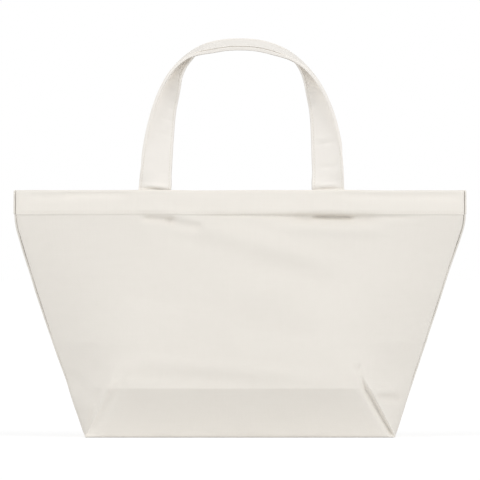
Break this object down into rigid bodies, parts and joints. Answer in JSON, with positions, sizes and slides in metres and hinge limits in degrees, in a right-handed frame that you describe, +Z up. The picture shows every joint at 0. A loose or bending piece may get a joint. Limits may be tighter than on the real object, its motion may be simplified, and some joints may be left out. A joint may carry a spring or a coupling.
{
  "type": "tote bag",
  "caption": "Open boat-shaped tote bag in natural canvas: wide mouth, narrower boxed base, turned hem and upright strap handles that twist over at the top.",
  "frame": {"origin": "under the middle of the base, on the surface that the bag stands on", "axes": "+Z up, +X along the mouth from the left side seam to the right one, -Y towards the front panel"},
  "size_m": [0.452, 0.132, 0.3997],
  "materials": {
    "canvas": "undyed plain-weave cotton canvas, matt",
    "strap": "the same canvas folded into an edge-stitched strap, matt",
    "overlocked_edge": "cut canvas edges bound by overlock stitches, matt"
  },
  "bodies": {
    "bag": {"front_panel": "canvas", "back_panel": "canvas", "front_hem": "canvas", "back_hem": "canvas", "left_side_seam": "overlocked_edge", "right_side_seam": "overlocked_edge", "base_seam": "overlocked_edge", "left_corner_seam": "overlocked_edge", "right_corner_seam": "overlocked_edge", "front_handle_left_end": "strap", "front_handle_right_end": "strap", "back_handle_left_end": "strap", "back_handle_right_end": "strap"},
    "front_handle": {"front_handle": "strap"},
    "back_handle": {"back_handle": "strap"}
  },
  "joints": [
    {"name": "front_handle_fold", "type": "hinge", "parent": "bag", "child": "front_handle", "pos_m": [0, -0.03425, 0.247], "axis": [1, 0, 0], "range_deg": [-4, 165]},
    {"name": "back_handle_fold", "type": "hinge", "parent": "bag", "child": "back_handle", "pos_m": [0, 0.03425, 0.247], "axis": [-1, 0, 0], "range_deg": [-4, 165]}
  ]
}
